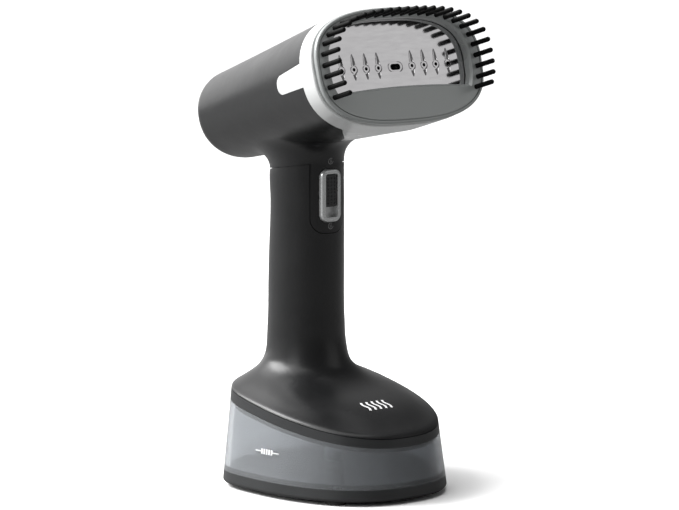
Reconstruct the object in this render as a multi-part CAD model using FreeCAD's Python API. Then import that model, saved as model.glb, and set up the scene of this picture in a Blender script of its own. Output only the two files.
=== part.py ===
"""Handheld garment steamer that stands on its own water tank, as an assembly of separate pieces.

Millimetres, +Z up, the steam face looks towards -Y. Everything is drawn about the handle's axis and
moved by FRAME_SHIFT at the end, so that the origin lies on the floor under the middle of the object.
"""
import FreeCAD
import Part
import math
import os

V = FreeCAD.Vector

# ---- driving dimensions -------------------------------------------------------------------------
FRAME_SHIFT = 12.75         # from the handle's axis to the middle of the object, along Y
WALL = 2.4                  # thickness of the plastic shells
GAP = 0.4                   # clearance between pieces that move apart
FIT = 0.15                  # clearance between fixed pieces
SEAM_GAP = 0.35             # width of the seams that show round the neck and the switch panel
SEAM_DEPTH = 0.9            # depth of the neck's seam, down to the lip that closes it

GRIP_R = 20.25              # handle radius half way up
NECK_R, NECK_Y = 19.75, -1.0        # radius and middle of the neck, a touch slimmer and further forward
GRIP_FOOT_R = 21.0          # handle radius where the foot's flare starts
FLARE_TOP = 78.0            # height where the foot's flare meets the handle
NECK_Z = 168.5              # height of the neck joint on the handle's axis
NECK_SLOPE = -0.15          # the neck joint rises towards the front

FOOT_HALF_WIDTH = 53.8      # foot outline at the floor
FOOT_FRONT = 82.5
FOOT_REAR = 35.7
FOOT_MID_Y = -8.0           # where the outline is widest
FOOT_POWER = 2.37           # exponent of the outline, 2 is an ellipse
FOOT_TAPER = 0.085 / 45     # share of the outline lost per millimetre of height
RUBBER_H = 2.0              # height of the rubber feet
TRAY_TOP = 8.35             # top of the dark base band
SEAT_T = 3.4                # thickness of the seat plate over the tank
RIM_Z, RIM_SLOPE = 43.3, 0.182      # plane between the clear tank and its dark rim
SEAM_Z, SEAM_SLOPE = 48.8, 0.197    # plane between the tank and the handle's foot

FACE_Y, FACE_Z = -79.8, 227.8       # centre of the steam face
PITCH = 16.0                        # the face looks up by this angle
FACE_HALF = (54.7, 30.4)            # half width and half height of the brush frame
FACE_POWER = 2.8
BEZEL_FRONT, BEZEL_REAR = 4.5, 20.25    # depth of the bezel's two edges behind the face
BARREL_FRONT, BARREL_REAR = 20.4, 150.0  # depth of the barrel's straight part
BARREL_ROUND = 11.0                 # rounding of the barrel's rear end
PLATE_FRONT, PLATE_T = 5.4, 1.5     # the metal plate behind the face

MOUTH_Y, MOUTH_R = -24.0, 11.0      # filling mouth in the tank's rim
SWITCH_Z = 154.3                    # centre of the switch bezel
SLIDER_TRAVEL = 5.2                 # the slot's length beyond the slider's stem
PUMP_Y = -2.5                       # axis of the pump
BUTTON_Z = 63.0                     # centre of the tank release button
GLAND_Z = 79.0                      # centre of the mains inlet
GLAND_BORE = 3.6                    # radius of the hole for the mains lead
NECK_FILLET = 13.5                  # rounding where the neck runs into the barrel

WINDOW_HALF = (46.0, 25.0)          # half width and half height of the brush frame's window
CHIN_LINE = (-13.2, -10.9)          # height of the chin's edge at its ends and in the middle
BRISTLE_PATH = (50.3, 26.7, 2.9)    # half width, half height and exponent of the line of bristles
BRISTLE_COUNT = 29
BRISTLE_R, BRISTLE_L, BRISTLE_ROOT = 1.3, 14.0, 1.6
HOLE_PLACES = [side * (11.2 + 8.04 * k) for side in (-1, 1) for k in range(4)]
CHAMBER_SCREW_PLACES = ((-36, 11.5), (36, 11.5), (-36, -11.5), (36, -11.5))
OUTLINE_POINTS = 40                 # points that each outline is drawn through

HEAD = FreeCAD.Placement(V(0, FACE_Y, FACE_Z), FreeCAD.Rotation(V(1, 0, 0), 90 - PITCH))


# ---- outlines and lofts -------------------------------------------------------------------------
def oval_radius(t, half_u, half_v, power):
    """Distance from the middle to a superellipse in the direction of angle t."""
    return (abs(math.cos(t) / half_u) ** power + abs(math.sin(t) / half_v) ** power) ** (-1 / power)


def smooth_wire(points):
    """Closed smooth curve through the points."""
    curve = Part.BSplineCurve()
    curve.interpolate(Points=points, PeriodicFlag=True)
    return Part.Wire([curve.toShape()])


def angles(count=OUTLINE_POINTS):
    return [2 * math.pi * k / count for k in range(count)]


def oval(half_u, half_v, power, depth, shift=0.0):
    """Superellipse in the head's own frame, where Z points out of the face and depth runs back."""
    points = []
    for t in angles():
        r = oval_radius(t, half_u, half_v, power)
        points.append(V(r * math.cos(t), shift + r * math.sin(t), -depth))
    return smooth_wire(points)


def loft(wires):
    return Part.makeLoft(wires, True, False)


def oval_prism(half_u, half_v, power, front, rear):
    face = Part.Face(oval(half_u, half_v, power, rear))
    return face.extrude(V(0, 0, rear - front))


def placed_in_head(shape):
    moved = shape.copy()
    moved.Placement = HEAD.multiply(shape.Placement)
    return moved


def box(x, y, z):
    """Box from three (low, high) pairs."""
    return Part.makeBox(x[1] - x[0], y[1] - y[0], z[1] - z[0], V(x[0], y[0], z[0]))


def rod(radius, start, end):
    start, end = V(*start), V(*end)
    axis = end - start
    return Part.makeCylinder(radius, axis.Length, start, axis)


def rounded_box(x, y, z, radius, along="Y"):
    """Box whose four edges along one axis are rounded."""
    solid = box(x, y, z)
    direction = {"X": V(1, 0, 0), "Y": V(0, 1, 0), "Z": V(0, 0, 1)}[along]
    edges = [e for e in solid.Edges if abs(e.tangentAt(e.FirstParameter).dot(direction)) > 0.99]
    return solid.makeFillet(radius, edges)


def tube_along(points, radius, bore=0.0):
    """Round tube whose route is straight runs joined by tangent arcs."""
    points = [V(*p) for p in points]
    edges, here = [], points[0]
    for before, corner, after in zip(points, points[1:], points[2:]):
        inward, outward = (before - corner).normalize(), (after - corner).normalize()
        turn = math.pi - inward.getAngle(outward)
        shorter = min((before - corner).Length, (after - corner).Length)
        cut = 0.45 * shorter
        arc_radius = cut / math.tan(turn / 2)
        first, last = corner + inward * cut, corner + outward * cut
        centre = corner + (inward + outward).normalize() * (arc_radius / math.cos(turn / 2))
        middle = centre + (corner - centre).normalize() * arc_radius
        edges += [Part.LineSegment(here, first).toShape(), Part.Arc(first, middle, last).toShape()]
        here = last
    edges.append(Part.LineSegment(here, points[-1]).toShape())
    path = Part.Wire(edges)
    start = Part.Wire([Part.Circle(points[0], points[1] - points[0], radius).toShape()])
    solid = path.makePipeShell([start], True, False)
    if bore:
        hole = Part.Wire([Part.Circle(points[0], points[1] - points[0], bore).toShape()])
        solid = solid.cut(path.makePipeShell([hole], True, False))
    return solid


# ---- foot: tank and the flare of the handle -----------------------------------------------------
def foot_point(t, z, inset=0.0):
    """Point of the foot's outline at a height, drawn in towards the middle by inset."""
    scale = 1 - FOOT_TAPER * z
    length = FOOT_FRONT if math.sin(t) < 0 else FOOT_REAR
    r = oval_radius(t, FOOT_HALF_WIDTH * scale - inset, length * scale - inset, FOOT_POWER)
    return r * math.cos(t), r * math.sin(t) + FOOT_MID_Y


def foot_wire(height, slope=0.0, inset=0.0):
    """Foot outline on a plane that passes through height at the outline's middle and rises with Y."""
    points = []
    for t in angles():
        z = height
        for _ in range(4):
            x, y = foot_point(t, z, inset)
            z = height + slope * (y - FOOT_MID_Y)
        points.append(V(x, y, z))
    return smooth_wire(points)


def seam_height(y, offset=0.0):
    return SEAM_Z + offset + SEAM_SLOPE * (y - FOOT_MID_Y)


def below_plane(height, slope):
    """Large block under the sloping plane, for cutting."""
    corners = [V(-90, y, height + slope * (y - FOOT_MID_Y)) for y in (-130, 70)]
    low = [V(-90, 70, -60), V(-90, -130, -60)]
    return Part.Face(Part.makePolygon(corners + low + [corners[0]])).extrude(V(180, 0, 0))


# Rings of the flare: share of the way from the handle to the foot's outline, and share of the height
# from the seam to FLARE_TOP at the front and at the rear
FLARE_RINGS = (
    (1.0, 0.0, 0.0), (0.985, 0.03, 0.018), (0.93, 0.075, 0.04), (0.72, 0.225, 0.095),
    (0.45, 0.36, 0.195), (0.2, 0.475, 0.36), (0.07, 0.61, 0.55), (0.02, 0.82, 0.745), (0.0, 1.0, 1.0),
)


def flare_ring(share, front, rear, inset=0.0, drop=0.0):
    """Points of one ring of the flare between the foot's outline and the handle."""
    ring = []
    for t in angles():
        z = SEAM_Z
        for _ in range(4):
            foot_x, foot_y = foot_point(t, z, inset)
            z = seam_height(foot_y, GAP)
        rise = rear + (front - rear) * (0.5 - 0.5 * math.sin(t))
        grip_x, grip_y = (GRIP_FOOT_R - inset) * math.cos(t), (GRIP_FOOT_R - inset) * math.sin(t)
        ring.append(V(grip_x + share * (foot_x - grip_x), grip_y + share * (foot_y - grip_y),
                      z + (FLARE_TOP - z) * rise - drop))
    return ring


def grip_ring(height, radius, middle_y=0.0, slope=0.0):
    return [V(radius * math.cos(t), middle_y + radius * math.sin(t),
              height + slope * (middle_y + radius * math.sin(t))) for t in angles()]


def grip_rings(inset):
    rings = []
    for rise, radius, middle_y in ((5, 20.8, 0), (12, 20.5, 0), (22, 20.35, 0), (36, GRIP_R, -0.2),
                                   (51, 20.0, -0.6), (64, NECK_R, NECK_Y), (76, NECK_R, NECK_Y)):
        rings.append(grip_ring(FLARE_TOP + rise, radius - inset, middle_y))
    return rings


def handle_solids():
    """Outer solid of the handle with its foot, and the solid of the hollow inside."""
    outer = [flare_ring(*ring) for ring in FLARE_RINGS] + grip_rings(0)
    outer.append(grip_ring(NECK_Z, NECK_R, NECK_Y, NECK_SLOPE))
    return loft([smooth_wire(r) for r in outer]), handle_hollow(WALL)


def handle_hollow(inset):
    drops = (7, 4, 2.4, 2.4, 2.3, 1.8, 1.2, 0.6, 0)
    rings = [flare_ring(*ring, inset, drop) for ring, drop in zip(FLARE_RINGS, drops)] + grip_rings(inset)
    rings.append(grip_ring(NECK_Z + 12, NECK_R - inset, NECK_Y, NECK_SLOPE))
    return loft([smooth_wire(r) for r in rings])


def below_neck_joint(lift=0.0):
    """Large block under the sloping joint between the handle and the neck, raised by lift."""
    corners = [V(-60, y, NECK_Z + lift + NECK_SLOPE * y) for y in (-60, 60)]
    low = [V(-60, 60, 60), V(-60, -60, 60)]
    return Part.Face(Part.makePolygon(corners + low + [corners[0]])).extrude(V(120, 0, 0))


def front_panel_solid(inset):
    """Block shaped like the switch panel, a tongue of the neck let into the handle's front."""
    half, low, high = 11.2 - inset, 134.0 + inset, NECK_Z + 6
    shape = rounded_box((-half, half), (-30, -12), (low, high + 20), 8.0 - inset)
    return shape.common(box((-30, 30), (-40, 0), (low - 1, high)))


def boss_places():
    return [(-31.0, -20.0), (31.0, -20.0), (0.0, -52.0)]


def make_handle_shell(outer, hollow):
    shell = outer.cut(hollow)
    for x, y in boss_places():
        post = rod(3.2, (x, y, seam_height(y, SEAT_T + 1.1)), (x, y, 90)).common(outer)
        shell = shell.fuse(post.cut(rod(1.2, (x, y, 0), (x, y, seam_height(y, 6.2)))))
    shell = shell.cut(front_panel_solid(0))
    shell = shell.cut(rod(5.6, (0, 10, GLAND_Z), (0, 40, GLAND_Z)))
    return shell.cut(button_block(7.4, 5.4))


def button_block(half_width, half_height):
    return rounded_box((-half_width, half_width), (10, 45),
                       (BUTTON_Z - half_height, BUTTON_Z + half_height), 3.0)


# ---- the tank ------------------------------------------------------------------------------------
def foot_places():
    return [(-33.0, -67.0), (33.0, -67.0), (-32.0, 8.0), (32.0, 8.0)]


def make_tank_tray():
    """Dark base band: a shallow tray under the clear tank."""
    tray = loft([foot_wire(RUBBER_H), foot_wire(TRAY_TOP)])
    tray = tray.makeFillet(1.5, [e for e in tray.Edges if e.BoundBox.ZMax < RUBBER_H + 0.01])
    pocket = loft([foot_wire(6.0, 0, 3.0), foot_wire(TRAY_TOP + 2, 0, 3.0)])
    tray = tray.cut(pocket)
    for x, y in foot_places():
        tray = tray.cut(rod(3.2, (x, y, 0), (x, y, 4.0))).cut(rod(1.7, (x, y, 0), (x, y, 9)))
    return tray


def make_tank_shell():
    outer = loft([foot_wire(TRAY_TOP), foot_wire(26, 0.09), foot_wire(RIM_Z, RIM_SLOPE)])
    inner = loft([foot_wire(10.6, 0, 2.4), foot_wire(28, 0.09, 2.4), foot_wire(60, RIM_SLOPE, 2.4)])
    shell = outer.cut(inner)
    for x, y in foot_places():
        shell = shell.fuse(rod(3.4, (x, y, 6.05), (x, y, TRAY_TOP + 1)))
        shell = shell.cut(rod(1.45, (x, y, 0), (x, y, 9.4)))
    return shell


def make_tank_rim():
    """Dark rim: a deck over the tank with the filling mouth and its collar."""
    rim = loft([foot_wire(RIM_Z, RIM_SLOPE), foot_wire(SEAM_Z, SEAM_SLOPE)])
    spigot = loft([foot_wire(RIM_Z - 3, RIM_SLOPE, 2.6), foot_wire(RIM_Z, RIM_SLOPE, 2.6)])
    hollow = loft([foot_wire(RIM_Z - 8, RIM_SLOPE, 4.4), foot_wire(SEAM_Z - 2.4, SEAM_SLOPE, 4.4)])
    rim = rim.fuse(spigot).cut(hollow)
    deck = seam_height(MOUTH_Y)
    collar = rod(MOUTH_R + 2.0, (0, MOUTH_Y, deck - 9), (0, MOUTH_Y, deck + 8))
    rim = rim.fuse(collar.common(below_plane(SEAM_Z, SEAM_SLOPE)))
    rim = rim.cut(rod(MOUTH_R, (0, MOUTH_Y, 0), (0, MOUTH_Y, 80)))
    return rim.removeSplitter()


def make_rubber_feet():
    feet = []
    for x, y in foot_places():
        foot = rod(5.5, (x, y, 0), (x, y, RUBBER_H))
        feet.append(foot.makeFillet(0.8, [e for e in foot.Edges if e.BoundBox.ZMax < 0.01]))
    return Part.makeCompound(feet)


def screw(x, y, head_z, length, shank_r=1.4, head_r=2.8, head_h=1.6):
    """Upright pan-head screw driven from below."""
    head = rod(head_r, (x, y, head_z), (x, y, head_z + head_h))
    head = head.makeFillet(0.5, [e for e in head.Edges if e.BoundBox.ZMax < head_z + 0.01])
    cross = box((x - 1.6, x + 1.6), (y - 0.35, y + 0.35), (head_z - 1, head_z + 0.9))
    cross = cross.fuse(box((x - 0.35, x + 0.35), (y - 1.6, y + 1.6), (head_z - 1, head_z + 0.9)))
    return head.fuse(rod(shank_r, (x, y, head_z + head_h), (x, y, head_z + head_h + length))).cut(cross)


def make_tray_screws():
    return Part.makeCompound([screw(x, y, 2.3, 5.2) for x, y in foot_places()])


# ---- pieces between the tank and the handle -------------------------------------------------------
def make_seat_plate():
    """Plate that closes the handle's foot and sits on the tank's rim."""
    block = handle_hollow(WALL + FIT).common(below_plane(SEAM_Z + GAP + SEAT_T, SEAM_SLOPE))
    plate = block.cut(below_plane(SEAM_Z + GAP, SEAM_SLOPE))
    plate = plate.cut(rod(7.0, (0, MOUTH_Y, 0), (0, MOUTH_Y, 90)))
    for x, y in boss_places():
        plate = plate.cut(rod(1.7, (x, y, 0), (x, y, 90)))
        plate = plate.cut(rod(3.1, (x, y, 0), (x, y, seam_height(y, 2.3))))
    return plate.cut(button_block(10.0, 5.9))


def make_seat_screws():
    return Part.makeCompound([screw(x, y, seam_height(y, 1.05), 2.5, 1.15, 2.7, 1.2)
                              for x, y in boss_places()])


def coupling_height():
    return seam_height(MOUTH_Y, GAP)


def make_tank_seal():
    """Soft ring under the seat plate that plugs the filling mouth."""
    top = coupling_height() - 3.5
    ring = Part.makeCone(MOUTH_R - 1.4, MOUTH_R - 0.6, 4.0, V(0, MOUTH_Y, top - 4.0))
    ring = ring.fuse(rod(MOUTH_R - 1.2, (0, MOUTH_Y, top), (0, MOUTH_Y, top + 1.2)))
    return ring.cut(rod(4.6, (0, MOUTH_Y, 0), (0, MOUTH_Y, 90)))


def make_tank_coupling():
    """Water coupling through the seat plate, with a hose barb on top and below."""
    z = coupling_height()
    body = rod(6.8, (0, MOUTH_Y, z - 2.0), (0, MOUTH_Y, z + 4.5))
    body = body.fuse(rod(4.5, (0, MOUTH_Y, z - 9), (0, MOUTH_Y, z + 4.5)))
    body = body.fuse(rod(6.4, (0, MOUTH_Y, z - 9), (0, MOUTH_Y, z - 7.7)))
    body = body.fuse(rod(1.7, (0, MOUTH_Y, z + 4.5), (0, MOUTH_Y, z + 6.0)))
    body = body.fuse(rod(2.9, (0, MOUTH_Y, z - 13), (0, MOUTH_Y, z - 9)))
    return body.cut(rod(1.1, (0, MOUTH_Y, 0), (0, MOUTH_Y, 90)))


def make_pickup_tube():
    z = coupling_height()
    tube = rod(3.6, (0, MOUTH_Y, 18.5), (0, MOUTH_Y, z - 9.2))
    return tube.cut(rod(2.4, (0, MOUTH_Y, 0), (0, MOUTH_Y, z - 13))).cut(
        rod(3.0, (0, MOUTH_Y, z - 13.1), (0, MOUTH_Y, z)))


def make_filter_weight():
    """Heavy filter on the end of the pickup tube, with slots round its foot."""
    body = rod(5.0, (0, MOUTH_Y, 12.6), (0, MOUTH_Y, 24.0))
    body = body.cut(rod(3.75, (0, MOUTH_Y, 18.4), (0, MOUTH_Y, 25)))
    body = body.cut(rod(2.2, (0, MOUTH_Y, 14.0), (0, MOUTH_Y, 19)))
    for k in range(4):
        slot = box((-6, 6), (MOUTH_Y - 0.6, MOUTH_Y + 0.6), (14.2, 17.2))
        slot.rotate(V(0, MOUTH_Y, 0), V(0, 0, 1), 45 * k)
        body = body.cut(slot)
    return body


# ---- tank release --------------------------------------------------------------------------------
def make_release_button(outer):
    """Push button in the foot's rear, with a shank and a flange that keeps it in."""
    pad = button_block(7.0, 5.0).common(outer).common(box((-20, 20), (16.0, 60), (40, 90)))
    flange = box((-8.4, 8.4), (13.4, 15.2), (BUTTON_Z - 4.4, BUTTON_Z + 6.4))
    bridge = box((-6.4, 6.4), (15.1, 17.5), (BUTTON_Z - 4.0, BUTTON_Z + 4.0))
    return pad.fuse(flange).fuse(bridge).removeSplitter()


def make_latch_spring():
    """Compression spring behind the button."""
    radius, wire, start, length, turns, steps = 2.6, 0.35, 7.85, 4.85, 3.5, 10
    count = round(turns * steps)
    points = []
    for k in range(count + 1):
        a = 2 * math.pi * k / steps
        points.append(V(radius * math.cos(a), start + length * k / count, BUTTON_Z + radius * math.sin(a)))
    curve = Part.BSplineCurve()
    curve.interpolate(points)
    direction = curve.tangent(curve.FirstParameter)[0]
    section = Part.Wire([Part.Circle(points[0], direction, wire).toShape()])
    return Part.Wire([curve.toShape()]).makePipeShell([section], True, True)


def make_latch_guide():
    """Bracket on the seat plate that holds the spring's far end."""
    foot_top = seam_height(-4.0, GAP + SEAT_T)
    wall = box((-6, 6), (5.4, 7.2), (foot_top, BUTTON_Z + 5))
    peg = rod(1.8, (0, 7.1, BUTTON_Z), (0, 9.6, BUTTON_Z))
    base = box((-6, 6), (-2.0, 7.2), (foot_top, seam_height(6, GAP + SEAT_T + 1.8)))
    slope_cut = below_plane(SEAM_Z + GAP + SEAT_T + 0.05, SEAM_SLOPE)
    return wall.fuse(peg).fuse(base).cut(slope_cut)


# ---- controls in the handle ------------------------------------------------------------------------
def make_switch_bezel():
    """Raised rounded frame with a slotted floor that the slider runs on."""
    z = SWITCH_Z
    frame = rounded_box((-6.5, 6.5), (-22.2, -16.2), (z - 14.1, z + 14.1), 4.2)
    front = [e for e in frame.Edges if e.BoundBox.YMax < -22.19]
    frame = frame.makeFillet(1.1, front)
    frame = frame.cut(rounded_box((-4.0, 4.0), (-30, -18.4), (z - 11.6, z + 11.6), 1.2))
    return frame.cut(box((-1.9, 1.9), (-30, -10), (z - 1.2 - SLIDER_TRAVEL, z + 5.4)))


def make_slider():
    """Steam slider: a pad with rows of grip dimples, and the stem that goes through the floor."""
    z = SWITCH_Z
    low, high = z + 11.2 - 17.2, z + 11.2
    pad = rounded_box((-3.6, 3.6), (-21.7, -18.75), (low, high), 0.8)
    pad = pad.makeFillet(0.5, [e for e in pad.Edges if e.BoundBox.YMax < -21.69])
    for column in (-2.1, 0.0, 2.1):
        for row in range(8):
            height = low + 1.95 + row * 1.9
            pad = pad.cut(Part.makeSphere(0.62, V(column, -21.85, height)))
    stem = box((-1.5, 1.5), (-19.0, -14.4), (z - 1.0, z + 5.0))
    return pad.fuse(stem).removeSplitter()


def make_slider_carriage():
    """Plate snapped on the stem behind the bezel, with the cam for the switch."""
    z = SWITCH_Z
    plate = box((-5.0, 5.0), (-15.6, -14.0), (z - 3.0, z + 7.0))
    plate = plate.cut(box((-1.5, 1.5), (-16, -14.4), (z - 1.0, z + 5.0)))
    cam = box((-1.6, 1.6), (-14.0, -11.4), (z + 1.0, z + 5.0))
    return plate.fuse(cam)


def make_microswitch():
    z = SWITCH_Z
    body = box((-3.2, 3.2), (-8.4, -1.6), (z - 12, z + 8))
    lever = box((-2.0, 2.0), (-9.9, -9.5), (z - 9, z + 7))
    pin = box((-1.0, 1.0), (-9.5, -8.4), (z - 2, z - 0.5))
    hinge = box((-2.0, 2.0), (-9.5, -8.4), (z - 9, z - 8))
    legs = [box((-0.4, 0.4), (-1.6, -0.2), (z + k - 0.3, z + k + 0.3)) for k in (-8, 0, 5)]
    return body.multiFuse([lever, pin, hinge] + legs)


def make_control_board():
    z = SWITCH_Z
    return box((-12.5, 12.5), (-0.2, 1.4), (z - 22, z + 13))


def make_board_parts():
    z = SWITCH_Z
    relay = box((-8, 8), (1.4, 11.0), (z - 20, z - 9))
    capacitor = rod(3.6, (-5, 5.1, z - 7), (-5, 5.1, z + 6))
    fuse = rod(2.4, (6, 3.9, z - 6), (6, 3.9, z + 9))
    chip = box((2, 9), (-1.8, -0.2), (z - 20, z - 13))
    return Part.makeCompound([relay, capacitor, fuse, chip])


# ---- pump, hoses, leads ------------------------------------------------------------------------------
def make_pump():
    body = rod(9.0, (0, PUMP_Y, 92), (0, PUMP_Y, 126))
    yoke = rounded_box((-11.5, 11.5), (PUMP_Y - 10.5, PUMP_Y + 10.5), (97, 121), 3.0, "Z")
    inlet = rod(1.7, (0, PUMP_Y, 86), (0, PUMP_Y, 92))
    return body.multiFuse([yoke, inlet])


def make_pump_mounts():
    """Two rubber rings that hold the pump in the handle."""
    rings = []
    for z in (93, 122.5):
        ring = rod(15.8, (0, 0, z), (0, 0, z + 3.0)).cut(rod(9.0, (0, PUMP_Y, z - 1), (0, PUMP_Y, z + 5)))
        rings.append(ring.cut(box((-8.5, 8.5), (9.5, 20), (z - 1, z + 5))))
    return Part.makeCompound(rings)


def make_inlet_hose():
    z = coupling_height()
    return tube_along([(0, MOUTH_Y, z + 4.6), (0, MOUTH_Y, z + 7.4), (0, -13, z + 15.6),
                       (0, -4, z + 24), (0, PUMP_Y, z + 32), (0, PUMP_Y, 91.8)], 2.6, 1.75)


def head_point(u, v, depth):
    """Point given in the head's own frame, in the handle's frame."""
    return tuple(HEAD.multVec(V(u, v, -depth)))


def make_outlet_hose():
    """Hose from the pump's elbow up the neck to the chamber's inlet."""
    return tube_along([(12.6, -3.5, 131.9), (12.6, -3.5, 148), (12.4, -4.0, 168), (11.0, -5.0, 190),
                       (4.0, -9.0, 213), head_point(0, 12.5, 56), head_point(0, 12.5, 34.8)], 3.0, 2.1)


def make_pump_elbow():
    """Rigid bend from the pump's outlet into the hose beside the board."""
    return tube_along([(0, PUMP_Y, 126.2), (0, PUMP_Y, 129.3), (6.0, -3.0, 129.3), (12.6, -3.5, 129.3),
                       (12.6, -3.5, 136.5)], 2.0, 1.0)


# ---- head: barrel, neck and bezel ---------------------------------------------------------------------
def barrel_size(depth):
    """Half width, half height, exponent and upward shift of the barrel at a depth behind the face."""
    share = (depth - BARREL_FRONT) / (BARREL_REAR - BARREL_FRONT)
    return (50.0 - 23.7 * share, 32.4 - 8.6 * share, 2.47 - 0.37 * share, 0.57 + 2.43 * share)


def barrel_oval(depth, inset):
    half_u, half_v, power, shift = barrel_size(depth)
    return oval(half_u - inset, half_v - inset, power, depth, shift)


def barrel_solid(inset, front):
    """Tapered barrel with a rounded rear end, moved in by inset all over."""
    solid = Part.makeLoft([barrel_oval(front, inset), barrel_oval(BARREL_REAR - inset, inset)], True, True)
    rear = [e for e in solid.Edges if e.BoundBox.ZMax < inset - BARREL_REAR + 0.01]
    return placed_in_head(solid.makeFillet(BARREL_ROUND - inset, rear))


def neck_solid():
    """Neck from the joint plane up into the barrel, with the switch panel hanging from its front."""
    post = rod(NECK_R, (0, NECK_Y, 125), (0, NECK_Y, NECK_Z + 30))
    post = post.cut(below_neck_joint(SEAM_GAP).cut(front_panel_solid(SEAM_GAP)))
    bezel_hole = rounded_box((-6.7, 6.7), (-40, 0), (SWITCH_Z - 14.3, SWITCH_Z + 14.3), 4.4)
    return post, bezel_hole


def neck_lip():
    """Plug behind the neck's edge that stands on the handle and closes the seam from inside."""
    plug = rod(NECK_R - SEAM_DEPTH, (0, NECK_Y, NECK_Z - 10), (0, NECK_Y, NECK_Z + 8))
    return plug.cut(below_neck_joint())


def neck_hollow_solid():
    return rod(NECK_R - WALL, (0, NECK_Y, 120), (0, NECK_Y, NECK_Z + 30))


def side_tongue_block(grow, front):
    """Tongue on the right-hand side, used for the bezel and for its cut-out in the barrel."""
    end_depth, end_r, root_half, reach = 43.2, 5.0 + grow, 6.2 + grow, 80
    tip = V(0, 1.0, -end_depth)
    corners = [V(0, 1.5 + root_half, -front), V(0, 1.5 - root_half, -front), V(0, 1.5 - root_half, -20),
               V(0, 1.0 - end_r, -end_depth), V(0, 1.0 + end_r, -end_depth), V(0, 1.5 + root_half, -20)]
    side = Part.Face(Part.makePolygon(corners + [corners[0]]))
    block = side.extrude(V(reach, 0, 0)).fuse(Part.makeCylinder(end_r, reach, tip, V(1, 0, 0)))
    block.translate(V(20, 0, 0))
    return block


def under_tongue_block(grow, front):
    """Wide tongue of the bezel that runs back under the barrel to the neck and narrows on its way."""
    end_depth, end_r, root_half = 47.0, 8.0 + grow, 30.0 + grow
    corners = [V(-root_half, 0, -front), V(root_half, 0, -front), V(root_half, 0, -20),
               V(end_r, 0, -end_depth), V(-end_r, 0, -end_depth), V(-root_half, 0, -20)]
    outline = Part.Face(Part.makePolygon(corners + [corners[0]]))
    tip = Part.makeCylinder(end_r, 60, V(0, 0, -end_depth), V(0, -1, 0))
    block = outline.extrude(V(0, -60, 0)).fuse(tip)
    block.translate(V(0, -8, 0))
    return block


def bezel_tongues(grow, front):
    """The three tongues of the bezel as blocks: one on each side and one underneath."""
    right = side_tongue_block(grow, front)
    left = right.mirror(V(0, 0, 0), V(1, 0, 0))
    return [placed_in_head(block) for block in (right, left, under_tongue_block(grow, front))]


def around_neck(edge):
    """True for the edges where the neck runs into the barrel."""
    points = edge.discretize(9)
    on_neck = all(abs(math.hypot(p.x, p.y - NECK_Y) - NECK_R) < 0.05 for p in points)
    return on_neck and edge.BoundBox.ZMin > NECK_Z + 4


def make_head_shell(barrel, barrel_hollow):
    neck, bezel_hole = neck_solid()
    outer = barrel.fuse(neck)
    joint = [e for e in outer.Edges if around_neck(e)]
    outer = outer.makeFillet(NECK_FILLET, joint).fuse(neck_lip())
    shell = outer.cut(barrel_hollow).cut(neck_hollow_solid()).cut(bezel_hole)
    for block in bezel_tongues(FIT, BEZEL_REAR - 3):
        shell = shell.cut(block)
    return shell


def bezel_oval(depth, inset):
    share = (depth - BEZEL_FRONT) / (BEZEL_REAR - BEZEL_FRONT)
    return oval(55.0 - 4.8 * share - inset, 30.9 + 1.6 * share - inset, 2.75 - 0.27 * share, depth,
                0.57 * share)


def make_front_bezel(barrel, barrel_inner):
    depths = (BEZEL_FRONT, 12.0, BEZEL_REAR)
    ring = loft([bezel_oval(d, 0) for d in depths])
    ring = ring.makeFillet(0.9, [e for e in ring.Edges if e.BoundBox.ZMin > -BEZEL_FRONT - 0.01])
    bore = loft([bezel_oval(d, 2.2) for d in (BEZEL_FRONT - 3, 12.0, BEZEL_REAR + 3)])
    ring = placed_in_head(ring.cut(bore))
    skin = barrel.cut(barrel_inner)
    tongues = [block.common(skin) for block in bezel_tongues(0, BEZEL_REAR - 0.4)]
    return ring.multiFuse(tongues).removeSplitter()


# ---- head: brush attachment ----------------------------------------------------------------------------
def chin_block(front, rear):
    """Everything below the chin's arched edge."""
    ends, middle = CHIN_LINE
    left, right = V(-60, ends - 1.2, -rear), V(60, ends - 1.2, -rear)
    arch = Part.Arc(left, V(0, middle, -rear), right).toShape()
    sides = Part.makePolygon([right, V(60, -50, -rear), V(-60, -50, -rear), left])
    return Part.Face(Part.Wire([arch] + sides.Edges)).extrude(V(0, 0, rear - front))


def make_brush_frame(bristles):
    half_u, half_v = FACE_HALF
    frame = oval_prism(half_u, half_v, FACE_POWER, 0, 2.0)
    frame = frame.makeFillet(1.0, [e for e in frame.Edges if e.BoundBox.ZMin > -0.01])
    frame = frame.fuse(oval_prism(half_u - 1.2, half_v - 1.2, FACE_POWER, 2.0, 3.0))
    skirt = oval_prism(50.6, 27.4, FACE_POWER, 2.9, 8.0)
    frame = frame.fuse(skirt)
    frame = frame.cut(oval_prism(49.5, 26.3, FACE_POWER, 4.8, 9.0))
    window = oval_prism(*WINDOW_HALF, FACE_POWER, -1, 9).cut(chin_block(-2, 10))
    frame = frame.cut(window)
    rim = [e for e in frame.Edges if e.BoundBox.ZMin > -0.01 and e.BoundBox.YMax < 26
           and e.BoundBox.XMax < 47.5]
    frame = frame.makeChamfer(1.2, rim)
    groove = oval_prism(half_u - 1.5, half_v - 1.5, FACE_POWER, -1, 0.7)
    groove = groove.cut(oval_prism(half_u - 2.1, half_v - 2.1, FACE_POWER, -2, 1))
    return placed_in_head(frame.cut(groove)).cut(bristles)


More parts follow.
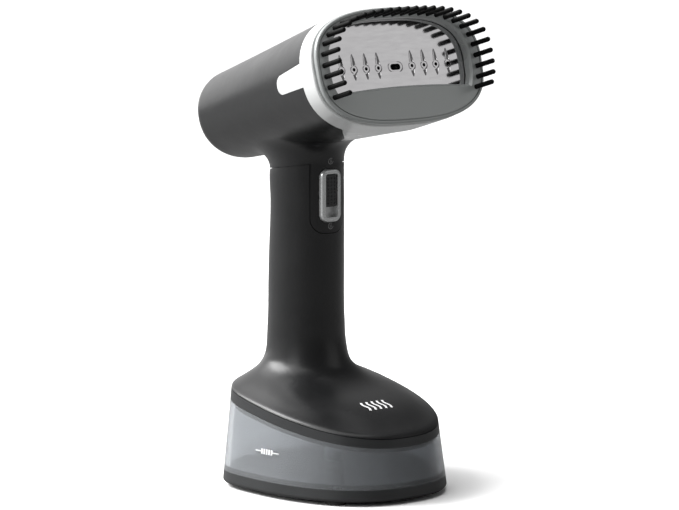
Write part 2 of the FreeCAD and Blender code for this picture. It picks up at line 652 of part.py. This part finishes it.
def bristle_places():
    """Roots at equal steps along the U-shaped path over the top of the face."""
    half_u, half_v, power = BRISTLE_PATH
    start, steps = math.radians(-17), 4000
    line = []
    for k in range(steps + 1):
        t = start + (math.pi - 2 * start) * k / steps
        r = oval_radius(t, half_u, half_v, power)
        line.append((r * math.cos(t), r * math.sin(t)))
    lengths = [0.0]
    for (u0, v0), (u1, v1) in zip(line, line[1:]):
        lengths.append(lengths[-1] + math.hypot(u1 - u0, v1 - v0))
    places, k = [], 0
    for index in range(BRISTLE_COUNT):
        target = lengths[-1] * index / (BRISTLE_COUNT - 1)
        while lengths[k] < target - 1e-6:
            k += 1
        places.append(line[k])
    return places


def make_bristles():
    solids = []
    for u, v in bristle_places():
        stem = Part.makeCylinder(BRISTLE_R, BRISTLE_L + BRISTLE_ROOT - BRISTLE_R, V(u, v, -BRISTLE_ROOT))
        tip = Part.makeSphere(BRISTLE_R, V(u, v, BRISTLE_L - BRISTLE_R))
        solids.append(placed_in_head(stem.fuse(tip).removeSplitter()))
    return Part.makeCompound(solids)


# ---- head: steam parts ------------------------------------------------------------------------------------
def spindle(u, low, high, width, centre):
    """Blade-shaped body, round in section, widest near the hole and running out to points."""
    arc = Part.Arc(V(u, low, -centre), V(u + width / 2, (low + high) / 2, -centre), V(u, high, -centre))
    outline = Part.Wire([arc.toShape(), Part.makeLine(V(u, high, -centre), V(u, low, -centre))])
    return Part.Face(outline).revolve(V(u, 0, -centre), V(0, 1, 0), 360)


def make_steam_plate():
    front, rear = PLATE_FRONT, PLATE_FRONT + PLATE_T
    plate = oval_prism(49.0, 25.8, FACE_POWER, front, rear)
    for u in HOLE_PLACES:
        plate = plate.cut(spindle(u, -8.0, 10.5, 3.2, front - 0.7))
        boss = rod(1.75, (u, 0, -front - 1.2), (u, 0, -front))
        plate = plate.cut(rod(2.4, (u, 0, -front - 0.8), (u, 0, 1))).fuse(boss)
        plate = plate.cut(rod(0.95, (u, 0, -rear - 1), (u, 0, 1)))
    slot = rounded_box((-3.3, 3.3), (-1.6, 1.6), (-rear - 1, -front + 1), 1.55, "Z")
    dish = rounded_box((-5.0, 5.0), (-2.8, 2.8), (-front - 0.8, -front + 1), 2.7, "Z")
    boss = rounded_box((-4.4, 4.4), (-2.2, 2.2), (-front - 1.2, -front), 2.15, "Z")
    return placed_in_head(plate.cut(dish).fuse(boss).cut(slot))


def make_chamber_gasket():
    ring = oval_prism(44.0, 22.6, FACE_POWER, 6.9, 7.9)
    return placed_in_head(ring.cut(oval_prism(40.0, 18.6, FACE_POWER, 6, 9)))


def make_steam_chamber():
    """Cast chamber with a hollow behind the plate and a round inlet at the rear."""
    body = oval_prism(43.6, 22.2, FACE_POWER, 7.9, 22.0)
    body = body.cut(oval_prism(39.6, 18.2, FACE_POWER, 7, 17.0))
    ribs = [box((u - 0.9, u + 0.9), (-9, 9), (-17.2, -10)) for u in (-24, -12, 12, 24)]
    body = body.multiFuse(ribs)
    body = body.fuse(Part.makeCylinder(4.2, 13, V(0, 12.5, -34.5)))
    body = body.fuse(Part.makeCylinder(2.0, 5, V(0, 12.5, -39.0)))
    for u, v in CHAMBER_SCREW_PLACES:
        body = body.cut(Part.makeCylinder(1.3, 5, V(u, v, -23)))
    return placed_in_head(body.cut(Part.makeCylinder(1.2, 40, V(0, 12.5, -50))))


def make_heating_element():
    """U-shaped tubular heater behind the chamber with a pin at each end."""
    points = [(-12, 4, -31), (-26, 4, -27.5), (-32, -2, -25.7), (-27, -11, -25.7), (-14, -13, -25.7),
              (14, -13, -25.7), (27, -11, -25.7), (32, -2, -25.7), (26, 4, -27.5), (12, 4, -31)]
    tube = tube_along(points, 3.2)
    return placed_in_head(tube)


def make_thermostat():
    disc = Part.makeCylinder(7.0, 6.0, V(0, -2.0, -28.2))
    tabs = [box((x - 0.4, x + 0.4), (-4.6, 0.6), (-35, -28.1)) for x in (-4.4, 4.4)]
    return placed_in_head(disc.multiFuse(tabs))


def make_thermal_fuse():
    body = Part.makeCylinder(1.9, 13, V(14.0, 16.0, -24.2), V(1, 0, 0))
    leads = Part.makeCylinder(0.5, 21, V(10.0, 16.0, -24.2), V(1, 0, 0))
    return placed_in_head(body.fuse(leads))


def make_heat_shield():
    """Insulating cup round the chamber, open to the front."""
    cup = loft([oval(46.0, 24.8, FACE_POWER, 9.0), oval(45.4, 24.8, FACE_POWER, 25.0),
                oval(41.5, 24.4, 2.6, 39.0)])
    hollow = loft([oval(44.9, 23.6, FACE_POWER, 7.0), oval(44.3, 23.6, FACE_POWER, 24.5),
                   oval(40.2, 23.2, 2.6, 37.6)])
    flange = loft([barrel_oval(27.0, WALL + FIT), barrel_oval(29.0, WALL + FIT)])
    cup = cup.fuse(flange).cut(hollow)
    cup = cup.cut(Part.makeCylinder(4.8, 12, V(0, 12.5, -44)))
    for x in (-13, 13):
        cup = cup.cut(Part.makeCylinder(4.6, 12, V(x, 4, -44)))
    return placed_in_head(cup)


def make_chamber_screws():
    solids = []
    for u, v in CHAMBER_SCREW_PLACES:
        head = Part.makeCylinder(2.4, 1.4, V(u, v, -23.5))
        solids.append(placed_in_head(head.fuse(Part.makeCylinder(1.15, 3.9, V(u, v, -22.1)))))
    return Part.makeCompound(solids)


# ---- mains inlet -----------------------------------------------------------------------------------------
def make_cord_gland():
    """Rubber bush in the handle's rear wall that the mains lead passes through."""
    bush = rod(5.5, (0, 14.4, GLAND_Z), (0, 24.4, GLAND_Z))
    bush = bush.fuse(rod(7.0, (0, 14.4, GLAND_Z), (0, 16.8, GLAND_Z)))
    edge = [e for e in bush.Edges if e.BoundBox.YMin > 24.3]
    bush = bush.makeFillet(1.0, edge)
    return bush.cut(rod(GLAND_BORE, (0, 10, GLAND_Z), (0, 30, GLAND_Z)))


def make_wire_loom():
    """Bundle of leads that climbs the rear of the handle to the heater."""
    return tube_along([(5.0, 13.4, 88.0), (5.0, 13.6, 120), (0.0, 14.2, 150), (0, 13.0, 176),
                       (0, 8.0, 192), (0, -4.0, 203), (0, -20.0, 210)], 2.0)


def make_terminal_block():
    block = box((4.5, 14.5), (-5, 5), (66, 75))
    return block.cut(rod(1.3, (7, -10, 71), (7, 10, 71))).cut(rod(1.3, (12, -10, 71), (12, 10, 71)))


# ---- export ------------------------------------------------------------------------------------------------
def save(name, shape):
    """Writes one node, moved into the object's own frame."""
    solids = shape.Solids
    if not solids or not all(s.isValid() and s.Volume > 0 for s in solids):
        print(name, "is not sound:", [s.isValid() for s in solids])
    out = solids[0].copy() if len(solids) == 1 else Part.makeCompound([s.copy() for s in solids])
    out.translate(V(0, FRAME_SHIFT, 0))
    out.exportStep(os.path.join("parts", name + ".step"))
    print(f"{name:18s} solids {len(solids):3d}  volume {sum(s.Volume for s in solids) / 1000:8.2f} cm3")


def main():
    os.makedirs("parts", exist_ok=True)
    handle, hollow = handle_solids()
    barrel, barrel_hollow = barrel_solid(0, BARREL_FRONT), barrel_solid(WALL, BARREL_FRONT - 6)
    bristles = make_bristles()

    save("handle_shell", make_handle_shell(handle, hollow))
    save("head_shell", make_head_shell(barrel, barrel_hollow))
    bezel_outer, bezel_inner = barrel_solid(0, BEZEL_REAR - 2), barrel_solid(2.2, BARREL_FRONT - 6)
    save("front_bezel", make_front_bezel(bezel_outer, bezel_inner))
    save("brush_frame", make_brush_frame(bristles))
    save("bristles", bristles)
    save("steam_plate", make_steam_plate())
    save("chamber_gasket", make_chamber_gasket())
    save("steam_chamber", make_steam_chamber())
    save("heating_element", make_heating_element())
    save("thermostat", make_thermostat())
    save("thermal_fuse", make_thermal_fuse())
    save("heat_shield", make_heat_shield())
    save("chamber_screws", make_chamber_screws())
    save("switch_bezel", make_switch_bezel())
    save("steam_slider", make_slider())
    save("slider_carriage", make_slider_carriage())
    save("microswitch", make_microswitch())
    save("control_board", make_control_board())
    save("board_parts", make_board_parts())
    save("pump", make_pump())
    save("pump_mounts", make_pump_mounts())
    save("pump_elbow", make_pump_elbow())
    save("inlet_hose", make_inlet_hose())
    save("outlet_hose", make_outlet_hose())
    save("wire_loom", make_wire_loom())
    save("terminal_block", make_terminal_block())
    save("cord_gland", make_cord_gland())
    save("seat_plate", make_seat_plate())
    save("seat_screws", make_seat_screws())
    save("tank_coupling", make_tank_coupling())
    save("tank_seal", make_tank_seal())
    save("pickup_tube", make_pickup_tube())
    save("filter_weight", make_filter_weight())
    save("release_button", make_release_button(handle))
    save("latch_spring", make_latch_spring())
    save("latch_guide", make_latch_guide())
    save("tank_shell", make_tank_shell())
    save("tank_rim", make_tank_rim())
    save("tank_tray", make_tank_tray())
    save("tray_screws", make_tray_screws())
    save("rubber_feet", make_rubber_feet())


main()
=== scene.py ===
"""Looks of the handheld garment steamer: materials, printed marks, floor, lights and camera."""
import math

import bmesh
import bpy
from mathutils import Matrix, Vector
from mathutils.bvhtree import BVHTree

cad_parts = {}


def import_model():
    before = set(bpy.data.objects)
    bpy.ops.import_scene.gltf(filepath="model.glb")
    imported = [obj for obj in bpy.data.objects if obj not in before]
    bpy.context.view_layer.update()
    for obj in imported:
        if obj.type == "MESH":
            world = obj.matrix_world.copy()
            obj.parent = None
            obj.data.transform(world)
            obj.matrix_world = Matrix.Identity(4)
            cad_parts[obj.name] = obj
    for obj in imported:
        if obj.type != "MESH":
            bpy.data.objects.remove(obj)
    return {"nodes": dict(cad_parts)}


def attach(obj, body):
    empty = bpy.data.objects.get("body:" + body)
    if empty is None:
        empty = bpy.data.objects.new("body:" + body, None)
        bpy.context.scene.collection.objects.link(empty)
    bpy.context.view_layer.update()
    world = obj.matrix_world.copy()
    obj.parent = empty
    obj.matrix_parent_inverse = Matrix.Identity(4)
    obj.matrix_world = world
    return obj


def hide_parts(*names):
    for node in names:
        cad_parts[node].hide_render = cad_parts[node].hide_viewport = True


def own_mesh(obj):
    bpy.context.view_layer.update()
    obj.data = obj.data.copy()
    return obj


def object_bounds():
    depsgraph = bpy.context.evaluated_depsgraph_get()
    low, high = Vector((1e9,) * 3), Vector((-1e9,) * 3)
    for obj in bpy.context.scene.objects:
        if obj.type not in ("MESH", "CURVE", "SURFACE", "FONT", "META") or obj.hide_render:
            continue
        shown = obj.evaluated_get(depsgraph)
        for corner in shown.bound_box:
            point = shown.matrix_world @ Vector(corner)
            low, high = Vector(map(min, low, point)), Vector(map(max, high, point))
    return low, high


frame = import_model()
cad_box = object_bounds()
LOW, HIGH = Vector(cad_box[0]), Vector(cad_box[1])      # corners of the object


# ---- materials ------------------------------------------------------------------------------------
def new_material(name):
    mat = bpy.data.materials.new(name)
    mat.use_nodes = True
    tree = mat.node_tree
    return mat, tree, tree.nodes["Principled BSDF"]


def noise(tree, scale, detail=3.0, stretch=(1, 1, 1)):
    """Noise in the object's own metres, finer with a larger scale."""
    coords = tree.nodes.new("ShaderNodeTexCoord")
    mapping = tree.nodes.new("ShaderNodeMapping")
    mapping.inputs["Scale"].default_value = stretch
    tex = tree.nodes.new("ShaderNodeTexNoise")
    tex.inputs["Scale"].default_value = scale
    tex.inputs["Detail"].default_value = detail
    tex.inputs["Roughness"].default_value = 0.5
    tree.links.new(coords.outputs["Object"], mapping.inputs["Vector"])
    tree.links.new(mapping.outputs["Vector"], tex.inputs["Vector"])
    return tex.outputs["Fac"]


def ramp(tree, fac, low, high, start=0.3, stop=0.7):
    """Colour ramp between two colours or two plain values."""
    node = tree.nodes.new("ShaderNodeValToRGB")
    for element, place, value in zip(node.color_ramp.elements, (start, stop), (low, high)):
        element.position = place
        element.color = (*value, 1) if isinstance(value, tuple) else (value, value, value, 1)
    tree.links.new(fac, node.inputs["Fac"])
    return node.outputs["Color"]


def shade(color, factor):
    """The colour made darker or lighter by factor."""
    return tuple(min(1.0, c * factor) for c in color)


def bumps(tree, shader, height, strength, distance):
    """Raises the surface by a height texture, distance metres at most."""
    bump = tree.nodes.new("ShaderNodeBump")
    bump.inputs["Strength"].default_value = strength
    bump.inputs["Distance"].default_value = distance
    tree.links.new(height, bump.inputs["Height"])
    tree.links.new(bump.outputs["Normal"], shader.inputs["Normal"])


def moulded(name, color, rough, grain=2600, grain_height=0.00001, spread=0.06, mottle=60, coat=0.0,
            metallic=0.0, sheen=0.0, gloss=0.5):
    """Moulded or painted surface: fine grain in the bump, slow drift in colour and roughness."""
    mat, tree, shader = new_material(name)
    drift = noise(tree, mottle, 4)
    tree.links.new(ramp(tree, drift, shade(color, 1 - spread), shade(color, 1 + spread)),
                   shader.inputs["Base Color"])
    tree.links.new(ramp(tree, drift, rough - 0.04, rough + 0.04), shader.inputs["Roughness"])
    bumps(tree, shader, noise(tree, grain, 2), 0.35, grain_height)
    shader.inputs["Metallic"].default_value = metallic
    shader.inputs["Coat Weight"].default_value = coat
    shader.inputs["Coat Roughness"].default_value = 0.12
    shader.inputs["Sheen Weight"].default_value = sheen
    shader.inputs["Specular IOR Level"].default_value = gloss
    return mat


def brushed(name, color, rough, stretch):
    """Metal with fine drawn lines along one axis."""
    mat, tree, shader = new_material(name)
    lines = noise(tree, 900, 2, stretch)
    tree.links.new(ramp(tree, lines, shade(color, 0.94), shade(color, 1.04)), shader.inputs["Base Color"])
    tree.links.new(ramp(tree, lines, rough * 0.8, rough * 1.25), shader.inputs["Roughness"])
    bumps(tree, shader, lines, 0.3, 0.000006)
    shader.inputs["Metallic"].default_value = 1.0
    return mat


def smoke_painted_shade():
    """Smoky clear plastic of the tank with slow swirls, and painted shade: the colour darkens towards +X."""
    mat, tree, shader = new_material("tank_smoke_painted_shade")
    coords = tree.nodes.new("ShaderNodeTexCoord")
    split = tree.nodes.new("ShaderNodeSeparateXYZ")
    tree.links.new(coords.outputs["Object"], split.inputs["Vector"])
    # painted shade: a run along object X, pale at -X and dark at +X, with slow swirls mixed in
    swirl_and_painted_shade = tree.nodes.new("ShaderNodeMath")
    swirl_and_painted_shade.operation = "MULTIPLY_ADD"
    swirl_and_painted_shade.inputs[1].default_value = 0.05
    tree.links.new(noise(tree, 22, 2, stretch=(1, 1, 2.5)), swirl_and_painted_shade.inputs[0])
    tree.links.new(split.outputs["X"], swirl_and_painted_shade.inputs[2])
    span = tree.nodes.new("ShaderNodeMapRange")
    span.inputs["From Min"].default_value, span.inputs["From Max"].default_value = -0.03, 0.075
    tree.links.new(swirl_and_painted_shade.outputs["Value"], span.inputs["Value"])
    # pale grey to darker grey along that run: the darker +X side is painted shade on the smoky tint
    tree.links.new(ramp(tree, span.outputs["Result"], (0.50, 0.52, 0.54), (0.23, 0.24, 0.255), 0.0, 1.0),
                   shader.inputs["Base Color"])
    tree.links.new(ramp(tree, noise(tree, 35, 2), 0.14, 0.20), shader.inputs["Roughness"])
    bumps(tree, shader, noise(tree, 16, 1), 0.15, 0.0003)
    shader.inputs["Transmission Weight"].default_value = 0.8
    shader.inputs["IOR"].default_value = 1.25
    shader.inputs["Coat Weight"].default_value = 0.35
    shader.inputs["Coat Roughness"].default_value = 0.15
    return mat


def polished_plate():
    """Polished plate whose surface is very slightly wavy, so that reflections bend."""
    mat, tree, shader = new_material("plate_polished")
    lines = noise(tree, 120, 2, stretch=(1, 4, 4))
    tree.links.new(ramp(tree, lines, (0.66, 0.65, 0.66), (0.72, 0.71, 0.72)), shader.inputs["Base Color"])
    tree.links.new(ramp(tree, lines, 0.07, 0.10), shader.inputs["Roughness"])
    bumps(tree, shader, noise(tree, 55, 1), 0.35, 0.0001)
    shader.inputs["Metallic"].default_value = 1.0
    return mat


def board():
    """Green circuit board with paler tracks."""
    mat, tree, shader = new_material("board_green")
    tracks = tree.nodes.new("ShaderNodeTexVoronoi")
    tracks.feature = "DISTANCE_TO_EDGE"
    tracks.inputs["Scale"].default_value = 220
    coords = tree.nodes.new("ShaderNodeTexCoord")
    tree.links.new(coords.outputs["Object"], tracks.inputs["Vector"])
    tree.links.new(ramp(tree, tracks.outputs["Distance"], (0.10, 0.34, 0.14), (0.02, 0.13, 0.05), 0.02, 0.05),
                   shader.inputs["Base Color"])
    tree.links.new(ramp(tree, noise(tree, 300), 0.3, 0.45), shader.inputs["Roughness"])
    return mat


SHELL = moulded("shell_charcoal", (0.0085, 0.0087, 0.0092), 0.33, gloss=0.42)
WHITE = moulded("bezel_white", (0.62, 0.63, 0.625), 0.24, grain=1200, spread=0.01, coat=0.15)
BRUSH_GREY = moulded("brush_grey", (0.32, 0.335, 0.33), 0.30, metallic=0.15, spread=0.015, mottle=25, coat=0.15)
BLACK = moulded("fittings_black", (0.011, 0.011, 0.012), 0.30, gloss=0.6)
SLIDER = moulded("slider_black", (0.022, 0.023, 0.024), 0.42, gloss=0.5)
BRISTLE = moulded("bristle_black", (0.0035, 0.0035, 0.0035), 0.5, mottle=300, gloss=0.08)
BAND = moulded("band_grey", (0.016, 0.017, 0.018), 0.45, grain=1500, grain_height=0.00003, spread=0.12)
SOFT = moulded("rubber_black", (0.012, 0.012, 0.012), 0.72, grain=1800, grain_height=0.00003, sheen=0.1)
PALE = moulded("silicone_pale", (0.62, 0.61, 0.57), 0.45, spread=0.04)
SILVER = moulded("trim_silver", (0.57, 0.58, 0.58), 0.29, metallic=0.65, spread=0.03, coat=0.2)
CAST = moulded("cast_alloy", (0.55, 0.55, 0.56), 0.5, grain=700, grain_height=0.00008, metallic=1.0)
STEEL = brushed("steel_bright", (0.55, 0.55, 0.56), 0.28, (1, 1, 8))
PLATE = polished_plate()
SMOKE_PAINTED_SHADE = smoke_painted_shade()
BOARD = board()
PRINT = moulded("print_white", (0.82, 0.82, 0.82), 0.45, spread=0.02, mottle=900)
PRINT_GREY = moulded("print_grey", (0.20, 0.20, 0.20), 0.5, spread=0.05, mottle=900)

LOOKS = {
    SHELL: ("handle_shell", "head_shell", "seat_plate"),
    WHITE: ("front_bezel", "terminal_block"),
    BRUSH_GREY: ("brush_frame",),
    BRISTLE: ("bristles",),
    PLATE: ("steam_plate",),
    SILVER: ("switch_bezel",),
    SMOKE_PAINTED_SHADE: ("tank_shell",),
    BAND: ("tank_rim", "tank_tray"),
    SOFT: ("rubber_feet", "cord_gland", "tank_seal", "pump_mounts", "wire_loom"),
    PALE: ("chamber_gasket", "inlet_hose", "outlet_hose", "pickup_tube"),
    CAST: ("steam_chamber",),
    STEEL: ("heating_element", "thermal_fuse", "chamber_screws", "seat_screws", "filter_weight",
            "latch_spring", "tray_screws"),
    BOARD: ("control_board",),
    SLIDER: ("steam_slider",),
    BLACK: ("thermostat", "heat_shield", "slider_carriage", "microswitch", "board_parts", "pump",
            "pump_elbow", "tank_coupling", "release_button", "latch_guide"),
}


def cad(node):
    return frame["nodes"][node]


for material, nodes in LOOKS.items():
    for node in nodes:
        mesh = cad(node).data
        mesh.materials.clear()
        mesh.materials.append(material)


# ---- a copy of the latch spring -----------------------------------------------------------------------
def latch_coil():
    """Same coil as the CAD spring, as its own mesh on the handle, with the CAD spring hidden."""
    coil = cad("latch_spring").copy()
    coil.data = coil.data.copy()
    coil.name = "latch_coil"
    bpy.context.scene.collection.objects.link(coil)
    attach(coil, "handle")
    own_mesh(coil)
    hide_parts("latch_spring")


latch_coil()


# ---- printed marks ----------------------------------------------------------------------------------
CAST_BACK = 0.05            # how far off the surface the cast starts
INK_LIFT = 0.00006          # height of the print over the surface
BLOCKS, BLOCK_STEP = 5, 0.0018      # the level mark's blocks


def printed(name, strips, node, origin, aim, across, up, body, material):
    """Flat marks laid on a surface: strips are rows of (u, v) points around origin, cast along aim."""
    tree = BVHTree.FromObject(cad(node), bpy.context.evaluated_depsgraph_get())
    across, up, aim = Vector(across).normalized(), Vector(up).normalized(), Vector(aim).normalized()
    bm = bmesh.new()
    for strip in strips:
        rows = []
        for row in strip:
            verts = []
            for u, v in row:
                start = Vector(origin) + across * u + up * v - aim * CAST_BACK
                hit, normal, _, _ = tree.ray_cast(start, aim)
                if hit is None:
                    hit, normal = Vector(origin) + across * u + up * v, -aim
                verts.append(bm.verts.new(hit + normal * INK_LIFT))
            rows.append(verts)
        for low, high in zip(rows, rows[1:]):
            for a, b, c, d in zip(low, low[1:], high[1:], high):
                bm.faces.new((a, b, c, d))
    mesh = bpy.data.meshes.new(name)
    bm.normal_update()
    bm.to_mesh(mesh)
    bm.free()
    ob = bpy.data.objects.new(name, mesh)
    bpy.context.scene.collection.objects.link(ob)
    mesh.materials.append(material)
    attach(ob, body)
    return ob


def ribbon(points, width):
    """Strip of the given width along a line of (u, v) points."""
    left, right = [], []
    for k, (u, v) in enumerate(points):
        a, b = points[max(k - 1, 0)], points[min(k + 1, len(points) - 1)]
        along = Vector((b[0] - a[0], b[1] - a[1])).normalized()
        left.append((u - along.y * width / 2, v + along.x * width / 2))
        right.append((u + along.y * width / 2, v - along.x * width / 2))
    return [left, right]


def wave(u, height, sway, steps=12):
    """Upright wavy line about u."""
    return [(u + sway * math.sin(2 * math.pi * k / steps), height * (k / steps - 0.5)) for k in range(steps + 1)]


def block(u, wide, high):
    """Upright block about u."""
    return [[(u + side * wide / 2, v) for side in (-1, 0, 1)] for v in (-high / 2, high / 2)]


def steam_marks(size, count):
    """Generic steam sign: upright wavy lines side by side."""
    places = [(k - (count - 1) / 2) * size * 0.42 for k in range(count)]
    return [ribbon(wave(u, size, size * 0.09), size * 0.15) for u in places]


def print_marks():
    """Level mark on the tank, steam signs by the switch and on the cover."""
    level = [ribbon([(-0.0085, 0), (-0.0064, 0), (-0.0042, 0)], 0.0005),
             ribbon([(0.0042, 0), (0.0064, 0), (0.0085, 0)], 0.0005)]
    level += [block((k - BLOCKS // 2) * BLOCK_STEP, 0.00105, 0.0028) for k in range(BLOCKS)]
    printed("level_mark", level, "tank_shell", (-0.0502, -0.0177, 0.0238), (0.99, 0.12, -0.1),
            (0.12, -0.993, 0), (0, 0, 1), "tank", PRINT)
    angles = [math.radians(60 + 30 * k) for k in range(11)]
    ring = ribbon([(0.0016 * math.cos(a), 0.0016 * math.sin(a)) for a in angles], 0.00035)
    for name, z in (("steam_sign_upper", 0.1726), ("steam_sign_lower", 0.1380)):
        printed(name, steam_marks(0.0018, 2) + [ring], "head_shell", (0.0003, -0.0083, z),
                (0, 1, 0), (1, 0, 0), (0, 0, 1), "handle", PRINT_GREY)
    printed("steam_sign_cover", steam_marks(0.0085, 5), "handle_shell", (0.0005, -0.0462, 0.0470),
            (0, 0.33, -0.944), (1, 0, 0), (0, 0.944, 0.33), "handle", PRINT)


print_marks()


# ---- floor, lights, camera ---------------------------------------------------------------------------
FLOOR_HALF = 6.0
AIM = (0, 0, HIGH.z * 0.5)  # middle of the object, where the softboxes point


def floor_sheet(name, low, high, height):
    """Large plain floor whose pale grey drifts slowly between two values."""
    mat, tree, shader = new_material(name)
    tree.links.new(ramp(tree, noise(tree, 3, 2), low, high), shader.inputs["Base Color"])
    shader.inputs["Roughness"].default_value = 0.7
    mesh = bpy.data.meshes.new(name)
    corners = [(x * FLOOR_HALF, y * FLOOR_HALF, 0) for x, y in ((-1, -1), (1, -1), (1, 1), (-1, 1))]
    mesh.from_pydata(corners, [], [(0, 1, 2, 3)])
    ob = bpy.data.objects.new(name, mesh)
    bpy.context.scene.collection.objects.link(ob)
    mesh.materials.append(mat)
    ob.location.z = height
    return ob


def floor():
    """The floor that is seen, and a greyer one just under it that throws less light back up."""
    seen = floor_sheet("floor_seen", 0.93, 0.95, LOW.z - 0.0002)
    seen.visible_diffuse = seen.visible_glossy = seen.visible_shadow = False
    bounce = floor_sheet("floor_bounce", 0.19, 0.21, LOW.z - 0.0008)
    bounce.visible_camera = False


def softbox(name, place, size, power):
    """Rectangular light that looks at the object and isn't seen itself."""
    data = bpy.data.lights.new(name, "AREA")
    data.shape = "RECTANGLE"
    data.size, data.size_y = size
    data.energy = power
    ob = bpy.data.objects.new(name, data)
    ob.location = place
    ob.rotation_euler = (Vector(AIM) - Vector(place)).to_track_quat("-Z", "Y").to_euler()
    ob.visible_camera = False
    bpy.context.scene.collection.objects.link(ob)


def overhead(strength, spread, lean):
    """Even soft light from above, which keeps the floor white as far as it is seen."""
    data = bpy.data.lights.new("overhead", "SUN")
    data.energy = strength
    data.angle = math.radians(spread)
    ob = bpy.data.objects.new("overhead", data)
    ob.rotation_euler = lean
    bpy.context.scene.collection.objects.link(ob)


def world(toward, bright, dim):
    """Soft studio surround: brightest in one direction, dimmest opposite it, and plain white to the camera."""
    scene = bpy.context.scene
    scene.view_settings.view_transform = "Standard"
    scene.world = bpy.data.worlds.new("studio")
    scene.world.use_nodes = True
    tree = scene.world.node_tree
    coords = tree.nodes.new("ShaderNodeTexCoord")
    along = tree.nodes.new("ShaderNodeVectorMath")
    along.operation = "DOT_PRODUCT"
    along.inputs[1].default_value = Vector(toward).normalized()
    tree.links.new(coords.outputs["Generated"], along.inputs[0])
    span = tree.nodes.new("ShaderNodeMapRange")
    span.interpolation_type = "SMOOTHSTEP"
    span.inputs["From Min"].default_value, span.inputs["From Max"].default_value = 0.2, 1.0
    span.inputs["To Min"].default_value, span.inputs["To Max"].default_value = dim, bright
    tree.links.new(along.outputs["Value"], span.inputs["Value"])
    path = tree.nodes.new("ShaderNodeLightPath")
    backdrop = tree.nodes.new("ShaderNodeMix")
    backdrop.inputs["B"].default_value = 1.0
    tree.links.new(path.outputs["Is Camera Ray"], backdrop.inputs["Factor"])
    tree.links.new(span.outputs["Result"], backdrop.inputs["A"])
    tree.links.new(backdrop.outputs["Result"], tree.nodes["Background"].inputs["Strength"])
    tree.nodes["Background"].inputs["Color"].default_value = (1, 1, 1, 1)


def camera():
    data = bpy.data.cameras.new("camera")
    data.lens, data.sensor_width = 191.0, 36.0
    data.clip_end = 50
    ob = bpy.data.objects.new("camera", data)
    ob.location = (-1.1776, -1.48915, 0.3912)
    ob.rotation_euler = (math.radians(90 - 8.083), 0, math.radians(-38.635))
    bpy.context.scene.collection.objects.link(ob)
    bpy.context.scene.camera = ob


floor()
world((-0.30, 0.95, 0.05), 1.7, 0.13)
overhead(2.6, 80, (math.radians(-14), math.radians(-16), 0))
softbox("key_left_back", (-0.85, 0.75, 1.25), (0.95, 0.95), 40)
softbox("left", (-1.4, -0.3, 0.9), (0.9, 1.2), 7)
softbox("front_right", (1.3, -1.55, 0.75), (1.4, 1.0), 2.4)
camera()
